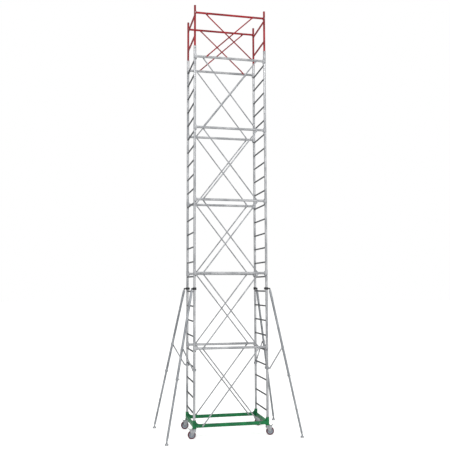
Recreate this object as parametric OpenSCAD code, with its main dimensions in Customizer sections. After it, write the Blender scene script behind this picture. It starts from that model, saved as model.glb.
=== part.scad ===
// Mobile tower scaffold: a steel base frame on four swivel castors, five stages of
// ladder frames tied by stringers and diagonal braces, a guardrail on top and four
// telescopic outriggers. +X runs along the long side, +Y to the rear, +Z up, and the
// origin is on the floor at the middle of the tower.

/* [Tower] */
// Distance between the left and right ladder frames, on the uprights' axes
tower_w = 1500; // [1200:10:2200]
// Distance between the front and rear uprights of one ladder frame, on their axes
tower_d = 900; // [700:10:1300]
// Height of one stage
stage_h = 1500; // [1200:10:2100]
// Height of the base frame's bars above the floor, on their axes
base_z = 245; // [235:1:320]

/* [Ladder frames] */
// Outer diameter of an upright
upright_d = 50; // [45:1:60]
// Wall of an upright
upright_wall = 2; // [1.5:0.1:3]
// Diameter of a rung
rung_d = 32; // [26:1:38]
// Wall of a rung
rung_wall = 1.5; // [1:0.1:3]
// Distance between rungs
rung_pitch = 300; // [230:5:330]
// Height of a frame's lowest rung above the foot of the frame
first_rung = 230; // [200:5:280]
// Wall of the sleeve round the foot of an upright
sleeve_wall = 2.5; // [2:0.1:4]
// Length of the sleeve that slips over the upright below
sleeve_drop = 40; // [34:1:60]
// Length of the sleeve that is welded to its own upright
sleeve_rise = 60; // [40:1:90]

/* [Stringers and braces] */
// Outer diameter of a stringer
stringer_d = 50; // [46:1:56]
// Wall of a stringer
stringer_wall = 2; // [1.5:0.1:3]
// Height of the fork at a stringer's end
fork_h = 90; // [70:1:100]
// Thickness of the fork's plates and of the gusset under it
plate_t = 5; // [4:0.5:8]
// Radius of the curved gusset under a stringer's end
gusset_r = 40; // [25:1:110]
// Outer diameter of a diagonal brace
brace_d = 26; // [20:1:27]
// Wall of a diagonal brace
brace_wall = 1.5; // [1:0.1:2.5]
// Distance from the upright's axis to the bolt at a brace's end
brace_inset = 170; // [130:1:230]
// Thickness of a brace's flattened end
tab_t = 5; // [4:0.5:6]
// Diameter of the locking pins
pin_d = 10; // [8:1:12]
// Diameter of the bolts at the braces' ends
bolt_d = 8; // [8:1:12]

/* [Guardrail] */
// Height of the end guards' posts above the top stringers
post_h = 1095; // [1050:5:1300]
// Height of the front and rear guardrails above the top stringers
guard_h = 945; // [940:5:1000]
// Height of the end guards' upper rail above the top stringers
side_h = 888; // [840:1:892]
// Height of the end guards' middle rail above the top stringers
mid_h = 440; // [400:5:520]
// Height of the sleeves on the topmost uprights above the top stringers
top_sleeve_h = 220; // [150:5:260]
// Diameter of the front and rear guardrails
guard_d = 42; // [36:1:48]
// Diameter of the end guards' rails
side_rail_d = 38; // [30:1:41]
// Distance from the post's axis to the bolt at a guard brace's end
guard_inset = 240; // [215:1:300]

/* [Base frame] */
// Height of the base frame's box section
base_bar_h = 65; // [50:1:67]
// Wall of the base frame's box section
base_wall = 3; // [2:0.1:4]
// Height of a corner socket
socket_h = 150; // [120:5:180]
// Wall of a corner socket
socket_wall = 4; // [3:0.1:6]
// Radius of the curved gusset between a socket and a bar
base_gusset_r = 76; // [50:1:77]

/* [Castors] */
// Diameter of a wheel
wheel_d = 160; // [125:1:164]
// Width of the tyre
tyre_w = 42; // [36:1:50]
// Thickness of the tyre
tyre_t = 24; // [14:1:28]
// Distance from the swivel axis to the axle
trail = 48; // [40:1:56]
// Diameter of the axle bolt
axle_d = 12; // [10:1:14]

/* [Outriggers] */
// Direction of the front left outrigger, from the long side towards the short side
front_left_az = 33; // [2:1:87]
// Direction of the front right outrigger
front_right_az = 30; // [2:1:87]
// Direction of the rear left outrigger
rear_left_az = 20; // [2:1:87]
// Direction of the rear right outrigger
rear_right_az = 41; // [2:1:87]
// Height of the upper clamp
clamp_z = 2930; // [2920:1:2940]
// Height of the strut's clamp
strut_clamp_z = 1325; // [1315:1:1330]
// Height of the strut's collar on the leg
strut_top_z = 1750; // [1650:5:1900]
// Distance from the upright's axis to a clamp's hinge pin
hinge_reach = 66; // [60:1:80]
// Distance from the upright's axis to the middle of the foot
foot_reach = 700; // [500:5:900]
// Outer diameter of the leg's outer tube
leg_d = 48; // [42:1:51]
// Wall of the leg's outer tube
leg_wall = 2.5; // [2:0.1:3]
// Length of the leg's outer tube
leg_outer_l = 1800; // [1500:10:2100]
// Length of the inner tube that is inside the outer one
leg_overlap = 400; // [250:10:600]
// Diameter of the strut
strut_d = 26; // [22:1:30]
// Diameter of the foot's pad
pad_d = 76; // [60:1:110]
// Height of the foot's hinge pin above the floor
ankle_z = 50; // [40:1:70]

/* [Fits] */
// Clearance round a part that slips over or into another
slip_gap = 0.3; // [0.2:0.05:0.5]
// Clearance round a castor's stem and a guard post inside an upright
spigot_gap = 1; // [0.5:0.1:2]
// Clearance round a pin or an axle that turns
turn_gap = 0.05; // [0.02:0.01:0.1]
// Clearance round the upright inside a strut's clamp
strut_clamp_gap = 3.5; // [3:0.1:5]

/* [Hidden] */
stages = 5;
corners = [["front_left", -1, -1, front_left_az], ["front_right", 1, -1, front_right_az],
           ["rear_left", -1, 1, rear_left_az], ["rear_right", 1, 1, rear_right_az]];
corner_parts = ["castor_fork", "castor_hub", "castor_tyre", "castor_brake", "outrigger_clamp", "outrigger_leg",
                "outrigger_extension", "outrigger_foot", "outrigger_strut", "strut_clamp"];
$fn = 48;

half_w = tower_w / 2;
half_d = tower_d / 2;
upright_r = upright_d / 2;
upright_bore_r = upright_r - upright_wall;
rung_r = rung_d / 2;
sleeve_bore_r = upright_r + slip_gap;
sleeve_r = sleeve_bore_r + sleeve_wall;
top_z = base_z + stages * stage_h;
// Clear height that the rungs leave under the next stage's joint
rung_margin = fork_h / 2 + rung_r + 4;
rungs = floor((stage_h - first_rung - rung_margin) / rung_pitch) + 1;

stringer_r = stringer_d / 2;
fork_in = sleeve_r + slip_gap;
fork_out = fork_in + plate_t;
fork_reach = 12;
pin_r = pin_d / 2;
pin_drop = 25;
pin_head_r = pin_r + 4;
pin_head_t = 5;
bolt_r = bolt_d / 2;
bolt_hole_r = bolt_r + slip_gap;
bolt_head_r = bolt_d * 0.85;
bolt_head_t = bolt_d * 0.6;
brace_r = brace_d / 2;
tab_w = brace_d + 4;
tab_gap = 0.1;
tab_l = 60;
brace_x = half_w - brace_inset;
guard_x = half_w - guard_inset;

post_r = upright_bore_r - spigot_gap;
post_wall = 2;
post_drop = 100;
post_rim_t = 8;
post_pin_z = top_z + 180;
guard_r = guard_d / 2;
side_rail_r = side_rail_d / 2;
guard_fork_h = guard_d + 12;
guard_plate_t = 4;
cap_t = 6;

base_bar_w = stringer_d;
socket_r = sleeve_r + slip_gap + socket_wall;
socket_foot_z = base_z - sleeve_drop;
base_plate_t = 8;
base_plate_w = 2 * socket_r + 20;
base_foot_z = socket_foot_z - base_plate_t;

wheel_r = wheel_d / 2;
hub_r = wheel_r - tyre_t;
axle_r = axle_d / 2;
stem_r = upright_bore_r - spigot_gap;
stem_flange_t = 10;
kingpin_r = 8;
cheek_in = tyre_w / 2 + 4;
cheek_t = 5;
// Levels of the castor's turning plates, counted down from the base frame
fork_top_z = base_foot_z - stem_flange_t - slip_gap;
fork_race_h = 8;
bridge_t = 6;
bridge_z = fork_top_z - fork_race_h - bridge_t;
brake_x = trail + 28;
brake_z = bridge_z + 4;
brake_r = 8;
brake_pin_r = 4;
brake_drop = 20;

leg_r = leg_d / 2;
leg_bore_r = leg_r - leg_wall;
extension_r = leg_bore_r - slip_gap;
collar_r = leg_r + 5;
hinge_pin_r = 6;
eye_r = 14;
tongue_t = 14;
ear_t = 6;
ear_in = tongue_t / 2 + slip_gap;
clamp_r = upright_r + 11;
clamp_h = 50;
strut_clamp_h = 44;
strut_r = strut_d / 2;
strut_eye_t = 10;
strut_side = max(leg_r + strut_r + 3, collar_r + strut_eye_t / 2 + 1);
strut_arm_t = 8;
foot_tongue_t = 12;
pad_t = 10;
leg_lean = atan2(foot_reach - hinge_reach, clamp_z - ankle_z);
leg_l = norm([foot_reach - hinge_reach, clamp_z - ankle_z]);
strut_on_leg = (clamp_z - strut_top_z) / cos(leg_lean);
strut_top_r = hinge_reach + strut_on_leg * sin(leg_lean);
strut_l = norm([strut_top_r - hinge_reach, strut_top_z - strut_clamp_z]);
strut_lean = atan2(strut_top_r - hinge_reach, strut_top_z - strut_clamp_z);

zinc = [0.74, 0.76, 0.78];
dark_zinc = [0.60, 0.62, 0.64];
green_paint = [0.05, 0.48, 0.24];
red_paint = [0.62, 0.08, 0.12];
black_paint = [0.08, 0.08, 0.09];
maroon_rubber = [0.38, 0.12, 0.17];
grey_plastic = [0.68, 0.70, 0.73];

// Level of the joint under stage k, counted from 0
function joint_z(k) = base_z + k * stage_h;

// Places children at a corner, drawn for the rear right one and mirrored to the others
module at_corner(c)
  mirror([c[1] < 0 ? 1 : 0, 0, 0]) mirror([0, c[2] < 0 ? 1 : 0, 0]) translate([half_w, half_d, 0]) children();

module at_corners() for (c = corners) at_corner(c) children();

// A straight round bar between two points
module rod(from, to, r) {
  d = to - from;
  translate(from) rotate([0, acos(d[2] / norm(d)), atan2(d[1], d[0])]) cylinder(r = r, h = norm(d));
}

// A round bar along Y, centred on the axis
module rod_y(r, l) rotate([90, 0, 0]) cylinder(r = r, h = l, center = true);

// A plate in the XZ plane, centred on Y
module plate_y(t) rotate([90, 0, 0]) translate([0, 0, -t / 2]) linear_extrude(t) children();

// A gusset's outline: its corner is at the origin, and its free edge is a hollow curve
module gusset_outline(r) difference() {
  square(r);
  translate([r, r]) circle(r);
}

// One rung or rail between the uprights at one end, cut to their round sides
module end_bar(z, r, wall, against) difference() {
  translate([half_w, 0, z]) rod_y(r, tower_d);
  translate([half_w, 0, z]) rod_y(r - wall, tower_d + 2);
  for (side = [-1, 1])
    translate([half_w, side * half_d, z - r - 1]) cylinder(r = against + tab_gap, h = 2 * r + 2);
}

// ---- Base frame ----

module base_bar(l) rotate([90, 0, 90]) linear_extrude(l, center = true) difference() {
  square([base_bar_w, base_bar_h], center = true);
  square([base_bar_w - 2 * base_wall, base_bar_h - 2 * base_wall], center = true);
}

module base_socket() {
  difference() {
    union() {
      translate([0, 0, socket_foot_z]) cylinder(r = socket_r, h = socket_h);
      translate([0, 0, base_foot_z + base_plate_t / 2]) cube([base_plate_w, base_plate_w, base_plate_t], center = true);
      for (turn = [180, 270])
        rotate([0, 0, turn]) translate([socket_r - 2, 0, base_z + base_bar_h / 2])
          plate_y(plate_t) gusset_outline(base_gusset_r);
    }
    translate([0, 0, socket_foot_z]) cylinder(r = sleeve_r + slip_gap, h = socket_h + 1);
    translate([0, 0, base_foot_z - 1]) cylinder(r = stem_r + slip_gap, h = base_plate_t + 2);
  }
}

module base_frame() color(green_paint) {
  for (side = [-1, 1]) {
    difference() {
      translate([0, side * half_d, base_z]) base_bar(tower_w);
      for (end = [-1, 1]) {
        translate([end * half_w, side * half_d, base_z - base_bar_h]) cylinder(r = socket_r, h = 2 * base_bar_h);
        translate([end * brace_x, side * half_d, base_z]) rod_y(bolt_hole_r, 2 * base_bar_w);
      }
    }
    difference() {
      translate([side * half_w, 0, base_z]) rotate([0, 0, 90]) base_bar(tower_d);
      for (end = [-1, 1])
        translate([side * half_w, end * half_d, base_z - base_bar_h]) cylinder(r = socket_r, h = 2 * base_bar_h);
    }
  }
  at_corners() base_socket();
}

// ---- Castors, with the swivel axis on the corner's upright ----

module castor_stems() color(zinc) at_corners() difference() {
  union() {
    translate([0, 0, base_foot_z]) cylinder(r = stem_r, h = socket_h);
    translate([0, 0, base_foot_z - stem_flange_t]) cylinder(r = stem_r + 14, h = stem_flange_t);
    translate([0, 0, bridge_z - slip_gap]) cylinder(r = kingpin_r, h = base_foot_z - bridge_z);
    translate([0, 0, bridge_z - slip_gap - 8]) cylinder(r = 13, h = 8, $fn = 6);
  }
  translate([0, 0, base_foot_z + 10]) cylinder(r = stem_r - 4, h = socket_h);
}

module cheek_outline() {
  polygon([[-36, bridge_z + bridge_t], [brake_x + 10, bridge_z + bridge_t], [brake_x + 10, brake_z - 10],
           [trail + 15, wheel_r - 4], [trail - 15, wheel_r - 4], [-36, bridge_z - 24]]);
  translate([trail, wheel_r]) circle(16);
}

module castor_fork() color(zinc) {
  difference() {
    union() {
      for (side = [-1, 1])
        translate([0, side * (cheek_in + cheek_t / 2), 0]) plate_y(cheek_t) cheek_outline();
      translate([-36, -cheek_in - cheek_t, bridge_z]) cube([80, 2 * (cheek_in + cheek_t), bridge_t]);
      translate([0, 0, bridge_z]) cylinder(r = stem_r + 12, h = bridge_t + fork_race_h);
    }
    translate([0, 0, bridge_z - 1]) cylinder(r = kingpin_r + turn_gap, h = 40);
    translate([trail, 0, wheel_r]) rod_y(axle_r + turn_gap, 4 * cheek_in);
    translate([brake_x, 0, brake_z]) rod_y(brake_pin_r + turn_gap, 4 * cheek_in);
  }
  translate([brake_x, 0, brake_z]) rod_y(brake_pin_r, 2 * (cheek_in + cheek_t) + 3);
  translate([trail, 0, wheel_r]) {
    rod_y(axle_r, 2 * (cheek_in + cheek_t) + 4);
    for (side = [-1, 1])
      translate([0, side * (cheek_in + cheek_t + 4), 0]) rotate([90, 0, 0]) cylinder(r = 11, h = 8, center = true, $fn = 6);
  }
}

module castor_hub() color(grey_plastic) translate([trail, 0, wheel_r]) rotate([90, 0, 0]) difference() {
  rotate_extrude() {
    translate([0, -cheek_in + 0.5]) square([16, 2 * cheek_in - 1]);
    translate([0, -5]) square([hub_r - 4, 10]);
    translate([hub_r - 9, -tyre_w / 2 + 2]) square([9, tyre_w - 4]);
  }
  cylinder(r = axle_r + turn_gap, h = 4 * cheek_in, center = true);
}

module castor_tyre() color(maroon_rubber) translate([trail, 0, wheel_r]) rotate([90, 0, 0])
  rotate_extrude() difference() {
    union() {
      translate([hub_r, -tyre_w / 2]) square([tyre_t - 6, tyre_w]);
      translate([hub_r, -tyre_w / 2 + 6]) square([tyre_t, tyre_w - 12]);
      for (side = [-1, 1]) translate([wheel_r - 6, side * (tyre_w / 2 - 6)]) circle(6);
    }
    translate([hub_r - 20, -tyre_w]) square([20, 2 * tyre_w]);
  }

// The pedal hangs on a pin across the fork, and its shoe comes down on the tyre
module castor_brake() color(dark_zinc) translate([brake_x, 0, brake_z]) difference() {
  union() {
    rod_y(brake_r, 2 * cheek_in - 2);
    rotate([0, -25, 0]) translate([0, -cheek_in + 4, 3]) cube([46, 2 * cheek_in - 8, 4]);
    translate([2, -tyre_w / 2 + 4, -brake_drop]) cube([8, tyre_w - 8, brake_drop - 4]);
  }
  rod_y(brake_pin_r + turn_gap, 4 * cheek_in);
}

// ---- Ladder frames ----

module upright() difference() {
  union() {
    cylinder(r = upright_r, h = stage_h);
    translate([0, 0, -sleeve_drop]) cylinder(r = sleeve_r, h = sleeve_drop + sleeve_rise);
  }
  translate([0, 0, -sleeve_drop - 1]) cylinder(r = sleeve_bore_r, h = sleeve_drop + 1);
  translate([0, 0, -1]) cylinder(r = upright_bore_r, h = stage_h + 2);
  for (z = [-pin_drop, stage_h - pin_drop]) translate([0, 0, z]) rod_y(pin_r + slip_gap, 3 * sleeve_r);
}

module ladder_frames(k) color(zinc) for (end = [0, 1]) mirror([end, 0, 0]) {
  for (side = [-1, 1]) translate([half_w, side * half_d, joint_z(k)]) upright();
  for (i = [0:rungs - 1]) end_bar(joint_z(k) + first_rung + i * rung_pitch, rung_r, rung_wall, upright_r);
}

// ---- Stringers ----

module stringer_tube(z) difference() {
  l = 2 * (half_w - fork_out);
  translate([0, 0, z]) rotate([0, 90, 0]) difference() {
    cylinder(r = stringer_r, h = l, center = true);
    cylinder(r = stringer_r - stringer_wall, h = l + 2, center = true);
  }
  for (side = [-1, 1]) {
    translate([side * brace_x, 0, z]) rod_y(bolt_hole_r, 2 * stringer_d);
    if (z == top_z) translate([side * guard_x, 0, z]) rod_y(bolt_hole_r, 2 * stringer_d);
  }
}

// The fork at the right end of a stringer, with its gusset, about the upright's axis
module stringer_fork() difference() {
  web_foot = -stringer_r - gusset_r;
  union() {
    translate([-fork_out, -fork_out, -fork_h / 2]) cube([fork_out + fork_reach, 2 * fork_out, fork_h]);
    translate([-fork_out, -fork_out, web_foot]) cube([plate_t, 2 * fork_out, -web_foot]);
    translate([-fork_out, 0, -stringer_r + 6]) mirror([1, 0, 0]) mirror([0, 0, 1])
      plate_y(plate_t) gusset_outline(gusset_r + 6);
  }
  translate([-fork_in, -fork_in, web_foot - 1]) cube([fork_in + fork_reach + 1, 2 * fork_in, gusset_r + fork_h + stringer_d]);
  translate([-fork_out, 0, 0]) rotate([0, -90, 0]) cylinder(r = stringer_r + tab_gap, h = 2 * gusset_r);
  translate([0, 0, -pin_drop]) rod_y(pin_r + slip_gap, 3 * fork_out);
}

module stringers(side) color(zinc) translate([0, side * half_d, 0]) for (k = [1:stages]) {
  stringer_tube(joint_z(k));
  for (end = [0, 1]) mirror([end, 0, 0]) translate([half_w, 0, joint_z(k)]) stringer_fork();
}

// ---- Diagonal braces ----

// One brace along +X from bolt to bolt, with its inner face on the plane y = 0
module brace(l, r, wall) difference() {
  union() {
    translate([tab_l / 2, r, 0]) rotate([0, 90, 0]) difference() {
      cylinder(r = r, h = l - tab_l);
      translate([0, 0, -1]) cylinder(r = r - wall, h = l - tab_l + 2);
    }
    for (end = [0, 1]) translate([end * l, 0, 0]) mirror([end, 0, 0]) {
      translate([0, tab_t, 0]) rotate([90, 0, 0]) cylinder(r = tab_w / 2, h = tab_t);
      translate([0, 0, -tab_w / 2]) cube([tab_l, tab_t, tab_w]);
    }
  }
  for (x = [0, l]) translate([x, 0, 0]) rod_y(bolt_hole_r, 6 * r);
}

// A pair of crossing braces: one bolted to the outer face, the other to the inner face
module brace_pair(x_low, x_high, z_low, z_high, plane) {
  rise = [x_low + x_high, 0, z_high - z_low];
  for (face = [0, 1])
    mirror([0, face, 0]) mirror([face, 0, 0]) translate([-x_low, plane, z_low])
      rotate([0, -atan2(rise[2], rise[0]), 0]) brace(norm(rise), brace_r, brace_wall);
}

module cross_braces(side) color(zinc) mirror([0, side < 0 ? 1 : 0, 0]) translate([0, half_d, 0])
  for (k = [0:stages - 1]) brace_pair(brace_x, brace_x, joint_z(k), joint_z(k + 1), stringer_r + tab_gap);

// ---- Guardrail ----

module guard_post() difference() {
  union() {
    translate([0, 0, top_z - post_drop]) cylinder(r = post_r, h = post_drop + post_h);
    translate([0, 0, top_z + top_sleeve_h]) cylinder(r = sleeve_r, h = post_rim_t);
  }
  translate([0, 0, top_z - post_drop - 1]) cylinder(r = post_r - post_wall, h = post_drop + post_h + 2);
  for (z = [top_z - pin_drop, post_pin_z, top_z + guard_h]) translate([0, 0, z]) rod_y(pin_r + slip_gap, 6 * post_r);
}

module guard_end() color(red_paint) {
  for (side = [-1, 1]) translate([half_w, side * half_d, 0]) guard_post();
  for (h = [mid_h, side_h]) end_bar(top_z + h, side_rail_r, rung_wall, post_r);
}

// The fork at the right end of a guardrail, about the post's axis
module guard_fork() difference() {
  inner = post_r + slip_gap;
  outer = inner + guard_plate_t;
  translate([-outer, -outer, -guard_fork_h / 2]) cube([outer + fork_reach, 2 * outer, guard_fork_h]);
  translate([-inner, -inner, -guard_fork_h]) cube([inner + fork_reach + 1, 2 * inner, 2 * guard_fork_h]);
  rod_y(pin_r + slip_gap, 3 * outer);
}

module guardrails() color(red_paint) for (side = [-1, 1]) translate([0, side * half_d, top_z + guard_h]) {
  l = 2 * (half_w - post_r - slip_gap - guard_plate_t);
  difference() {
    rotate([0, 90, 0]) cylinder(r = guard_r, h = l, center = true);
    rotate([0, 90, 0]) cylinder(r = guard_r - post_wall, h = l + 2, center = true);
    for (end = [-1, 1]) translate([end * guard_x, 0, 0]) rod_y(bolt_hole_r, 2 * guard_d);
  }
  for (end = [0, 1]) mirror([end, 0, 0]) translate([half_w, 0, 0]) guard_fork();
}

module guard_braces() color(red_paint) for (side = [0, 1]) mirror([0, side, 0]) translate([0, half_d, 0])
  brace_pair(guard_x, guard_x, top_z, top_z + guard_h, stringer_r + tab_gap);

module top_sleeves() color(zinc) at_corners() difference() {
  translate([0, 0, top_z - sleeve_drop]) cylinder(r = sleeve_r, h = sleeve_drop + top_sleeve_h);
  translate([0, 0, top_z - sleeve_drop - 1]) cylinder(r = sleeve_bore_r, h = sleeve_drop + 1);
  translate([0, 0, top_z - 1]) cylinder(r = post_r + slip_gap, h = top_sleeve_h + 2);
  for (z = [top_z - pin_drop, post_pin_z]) translate([0, 0, z]) rod_y(pin_r + slip_gap, 3 * sleeve_r);
}

module post_caps() color(black_paint) at_corners() translate([0, 0, top_z + post_h]) {
  cylinder(r = post_r + 1, h = cap_t);
  translate([0, 0, -18]) cylinder(r = post_r - post_wall - tab_gap, h = 18);
}

// ---- Fasteners ----

// A pin along Y through a joint, with its head on the outer side and a collar on the inner side
module locking_pin(reach) {
  rod_y(pin_r, 2 * reach + 16);
  translate([0, reach + pin_head_t / 2 + tab_gap, 0]) rod_y(pin_head_r, pin_head_t);
  translate([0, -reach - 2 - tab_gap, 0]) rod_y(pin_head_r - 2, 4);
}

module locking_pins() color(dark_zinc) at_corners() {
  for (k = [1:stages]) translate([0, 0, joint_z(k) - pin_drop]) locking_pin(fork_out);
  translate([0, 0, post_pin_z]) locking_pin(sleeve_r);
  translate([0, 0, top_z + guard_h]) locking_pin(post_r + slip_gap + guard_plate_t);
}

// A bolt along Y through a stringer and the braces on its faces
module brace_bolt() {
  seat = stringer_r + 2 * tab_gap + tab_t;
  rod_y(bolt_r, 2 * (seat + bolt_head_t) + 4);
  for (side = [-1, 1]) translate([0, side * (seat + bolt_head_t / 2), 0]) rotate([90, 0, 0])
    cylinder(r = bolt_head_r, h = bolt_head_t, center = true, $fn = 6);
}

// A bush that fills the space between a guardrail and the guard brace on its face
module guard_bush() translate([0, guard_r + (stringer_r - guard_r) / 2, 0]) difference() {
  rod_y(bolt_head_r, stringer_r - guard_r);
  rod_y(bolt_hole_r, stringer_d);
}

module brace_bolts() color(dark_zinc) for (side = [-1, 1]) {
  for (end = [-1, 1]) {
    for (k = [0:stages]) translate([end * brace_x, side * half_d, joint_z(k)]) brace_bolt();
    for (z = [top_z, top_z + guard_h]) translate([end * guard_x, side * half_d, z]) brace_bolt();
    for (face = [0, 1]) translate([end * guard_x, side * half_d, top_z + guard_h]) mirror([0, face, 0]) guard_bush();
  }
}

// ---- Outriggers, drawn in the plane of the leg, with the upright's axis at the origin ----

module at_outrigger(c) at_corner(c) rotate([0, 0, c[3]]) children();

// Places children in the leg's own frame: its hinge at the origin and the leg along -Z
module on_leg() translate([hinge_reach, 0, clamp_z]) rotate([0, -leg_lean, 0]) children();

module outrigger_clamp() color(black_paint) {
  difference() {
    union() {
      translate([0, 0, clamp_z]) cylinder(r = clamp_r, h = clamp_h, center = true);
      for (side = [-1, 1]) translate([0, side * (ear_in + ear_t / 2), clamp_z]) {
        translate([hinge_reach / 2, 0, 0]) cube([hinge_reach, ear_t, 2 * eye_r], center = true);
        translate([hinge_reach, 0, 0]) rod_y(eye_r, ear_t);
      }
    }
    translate([0, 0, clamp_z]) cylinder(r = upright_r + slip_gap, h = 2 * clamp_h, center = true);
    translate([hinge_reach, 0, clamp_z]) rod_y(hinge_pin_r + turn_gap, 6 * ear_in);
  }
  translate([hinge_reach, 0, clamp_z]) {
    rod_y(hinge_pin_r, 2 * (ear_in + ear_t) + 4);
    for (side = [-1, 1]) translate([0, side * (ear_in + ear_t + 2.6), 0]) rod_y(10, 5);
  }
}

module outrigger_leg() color(zinc) on_leg() {
  difference() {
    union() {
      rod_y(eye_r, tongue_t);
      translate([-eye_r, -tongue_t / 2, -46]) cube([2 * eye_r, tongue_t, 46]);
      translate([0, 0, -leg_outer_l]) cylinder(r = leg_r, h = leg_outer_l - 40);
      translate([0, 0, -leg_outer_l]) cylinder(r = collar_r, h = 45);
      translate([0, 0, -strut_on_leg - 22]) cylinder(r = collar_r, h = 44);
      translate([0, 0, -strut_on_leg]) rotate([-90, 0, 0]) cylinder(r = hinge_pin_r, h = strut_side + strut_eye_t / 2 + 6);
      translate([0, leg_r, -leg_outer_l + 22]) rotate([-90, 0, 0]) cylinder(r = 8, h = 14);
      translate([0, leg_r, -leg_outer_l + 22]) rotate([-90, 0, 0]) cylinder(r = 5, h = 26);
      translate([0, leg_r + 24, -leg_outer_l + 22]) rotate([0, 90, 0]) cylinder(r = 4, h = 50, center = true);
    }
    translate([0, 0, -leg_outer_l - 1]) cylinder(r = leg_bore_r, h = leg_outer_l - 45);
    rod_y(hinge_pin_r + turn_gap, 3 * tongue_t);
  }
  translate([0, strut_side + strut_eye_t / 2 + 3.5, -strut_on_leg]) rod_y(10, 3);
}

module outrigger_extension() color(zinc) on_leg() difference() {
  union() {
    translate([0, 0, -leg_l + 34]) cylinder(r = extension_r, h = leg_l - 34 - leg_outer_l + leg_overlap);
    extension_eye();
  }
  translate([0, 0, -leg_l + 40]) cylinder(r = extension_r - leg_wall, h = leg_l);
  translate([0, 0, -leg_l]) rod_y(hinge_pin_r + turn_gap, 3 * tongue_t);
}

// The flat eye at the foot of the inner tube
module extension_eye() translate([0, 0, -leg_l]) {
  rod_y(eye_r - 1, foot_tongue_t);
  translate([-eye_r + 1, -foot_tongue_t / 2, 0]) cube([2 * eye_r - 2, foot_tongue_t, 36]);
}

module outrigger_foot() color(dark_zinc) translate([foot_reach, 0, 0]) {
  ear_y = foot_tongue_t / 2 + slip_gap + ear_t / 2;
  difference() {
    union() {
      cylinder(r = pad_d / 2, h = pad_t);
      for (side = [-1, 1]) translate([0, side * ear_y, 0]) {
        translate([0, 0, ankle_z]) rod_y(eye_r - 1, ear_t);
        translate([-eye_r + 1, -ear_t / 2, pad_t / 2]) cube([2 * eye_r - 2, ear_t, ankle_z - pad_t / 2]);
      }
    }
    translate([0, 0, ankle_z]) rod_y(hinge_pin_r + turn_gap, 4 * foot_tongue_t);
  }
  translate([0, 0, ankle_z]) {
    rod_y(hinge_pin_r, 2 * ear_y + ear_t + 4);
    for (side = [-1, 1]) translate([0, side * (ear_y + ear_t / 2 + 2.6), 0]) rod_y(9, 5);
  }
}

module outrigger_strut() color(zinc) translate([strut_top_r, strut_side, strut_top_z]) rotate([0, strut_lean, 0]) difference() {
  union() {
    translate([0, 0, -strut_l + 26]) cylinder(r = strut_r, h = strut_l - 52);
    for (z = [0, -strut_l]) translate([0, 0, z]) rod_y(eye_r, strut_eye_t);
    translate([-eye_r, -strut_eye_t / 2, -strut_l]) cube([2 * eye_r, strut_eye_t, strut_l]);
  }
  translate([0, 0, -strut_l + 40]) cylinder(r = strut_r - 2, h = strut_l - 80);
  translate([-strut_d, -strut_d, -strut_l + 44]) cube([strut_d - strut_r, 2 * strut_d, strut_l - 88]);
  translate([strut_r, -strut_d, -strut_l + 44]) cube([strut_d - strut_r, 2 * strut_d, strut_l - 88]);
  for (z = [0, -strut_l]) translate([0, 0, z]) rod_y(hinge_pin_r + turn_gap, 3 * strut_eye_t);
}

module strut_clamp() color(dark_zinc) translate([0, 0, strut_clamp_z]) {
  arm_y = strut_side - strut_eye_t / 2 - 1 - strut_arm_t;
  ring_r = upright_r + strut_clamp_gap + 8;
  difference() {
    union() {
      cylinder(r = ring_r, h = strut_clamp_h, center = true);
      translate([-eye_r, arm_y, -eye_r]) cube([hinge_reach + eye_r, strut_arm_t, 2 * eye_r]);
      translate([hinge_reach, arm_y + strut_arm_t / 2, 0]) rod_y(eye_r, strut_arm_t);
      translate([hinge_reach, arm_y + 1, 0]) rotate([-90, 0, 0]) cylinder(r = hinge_pin_r, h = strut_arm_t + strut_eye_t + 7);
    }
    cylinder(r = upright_r + strut_clamp_gap, h = 2 * strut_clamp_h, center = true);
  }
  translate([hinge_reach, strut_side + strut_eye_t / 2 + 3.5, 0]) rod_y(10, 3);
}

// ---- Assembly ----

base_frame();
castor_stems();
for (k = [1:stages]) ladder_frames(k - 1);
stringers(-1);  // stringers_front
stringers(1);  // stringers_rear
cross_braces(-1);  // cross_braces_front
cross_braces(1);  // cross_braces_rear
mirror([1, 0, 0]) guard_end();  // guard_end_left
guard_end();  // guard_end_right
guardrails();
guard_braces();
top_sleeves();
post_caps();
locking_pins();
brace_bolts();
for (c = corners) {
  at_corner(c) castor_fork();
  at_corner(c) castor_hub();
  at_corner(c) castor_tyre();
  at_corner(c) castor_brake();
  at_outrigger(c) outrigger_clamp();
  at_outrigger(c) outrigger_leg();
  at_outrigger(c) outrigger_extension();
  at_outrigger(c) outrigger_foot();
  at_outrigger(c) outrigger_strut();
  at_outrigger(c) strut_clamp();
}
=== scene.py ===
import bmesh
import bpy
import math
from mathutils import Matrix, Vector


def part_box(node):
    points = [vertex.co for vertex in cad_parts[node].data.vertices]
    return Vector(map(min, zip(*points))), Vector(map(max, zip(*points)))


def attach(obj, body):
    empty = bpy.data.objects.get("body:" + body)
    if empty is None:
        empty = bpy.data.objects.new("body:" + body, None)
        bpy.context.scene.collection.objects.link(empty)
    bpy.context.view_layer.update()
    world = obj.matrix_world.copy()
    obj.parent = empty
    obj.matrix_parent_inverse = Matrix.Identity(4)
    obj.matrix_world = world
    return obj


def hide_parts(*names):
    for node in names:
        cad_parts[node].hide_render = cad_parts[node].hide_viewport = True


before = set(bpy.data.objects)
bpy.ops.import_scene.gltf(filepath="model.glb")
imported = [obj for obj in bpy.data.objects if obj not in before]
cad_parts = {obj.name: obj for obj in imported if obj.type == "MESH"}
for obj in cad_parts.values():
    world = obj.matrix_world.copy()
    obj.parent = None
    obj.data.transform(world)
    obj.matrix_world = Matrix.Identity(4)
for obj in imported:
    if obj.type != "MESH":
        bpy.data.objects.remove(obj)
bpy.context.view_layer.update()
scene = bpy.context.scene
print("frame loaded:", len(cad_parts), "nodes")

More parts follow.
